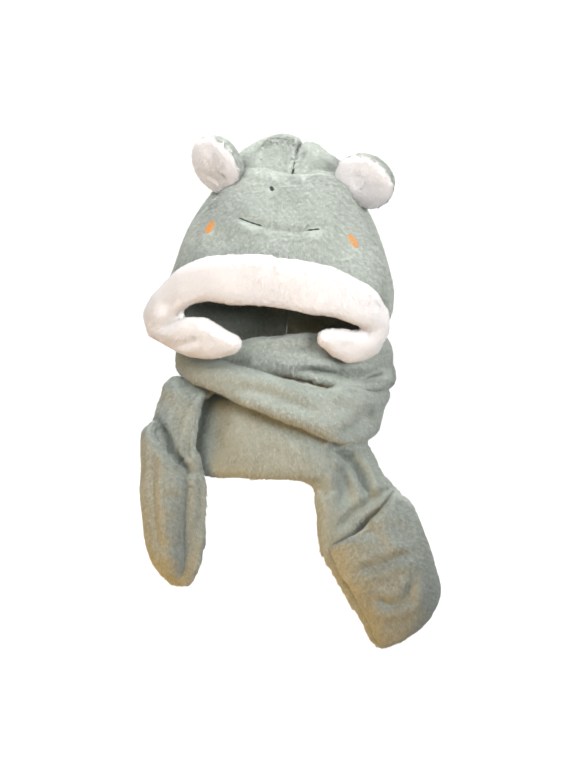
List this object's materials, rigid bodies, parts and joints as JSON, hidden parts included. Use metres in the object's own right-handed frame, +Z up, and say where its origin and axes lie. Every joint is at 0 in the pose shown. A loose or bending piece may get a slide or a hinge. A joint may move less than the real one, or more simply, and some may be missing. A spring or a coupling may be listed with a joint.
{
  "type": "animal hood scarf",
  "caption": "Plush animal hood with round ears and a padded face cuff, worn with its scarf wound round the neck and both pocketed ends hanging in front.",
  "frame": {"origin": "inside of the hood's crown, where the head carries it", "axes": "+Z up, the face looks towards -Y, +X towards the right of someone facing it"},
  "size_m": [0.2933, 0.2179, 0.5021],
  "materials": {
    "sage_plush": "short cut pile, matt",
    "white_plush": "short cut pile, matt",
    "orange_thread": "satin stitch",
    "dark_thread": "satin stitch"
  },
  "bodies": {
    "root": {"face_panel": "sage_plush", "crown_left": "sage_plush", "crown_right": "sage_plush", "cuff": "white_plush", "ear_left_face": "white_plush", "ear_left_back": "sage_plush", "ear_right_face": "white_plush", "ear_right_back": "sage_plush", "nostril_left": "dark_thread", "nostril_right": "dark_thread", "mouth": "dark_thread", "cheek_left": "orange_thread", "cheek_right": "orange_thread", "scarf_left": "sage_plush", "scarf_right": "sage_plush", "pocket_left": "sage_plush", "pocket_right": "sage_plush"}
  },
  "joints": []
}
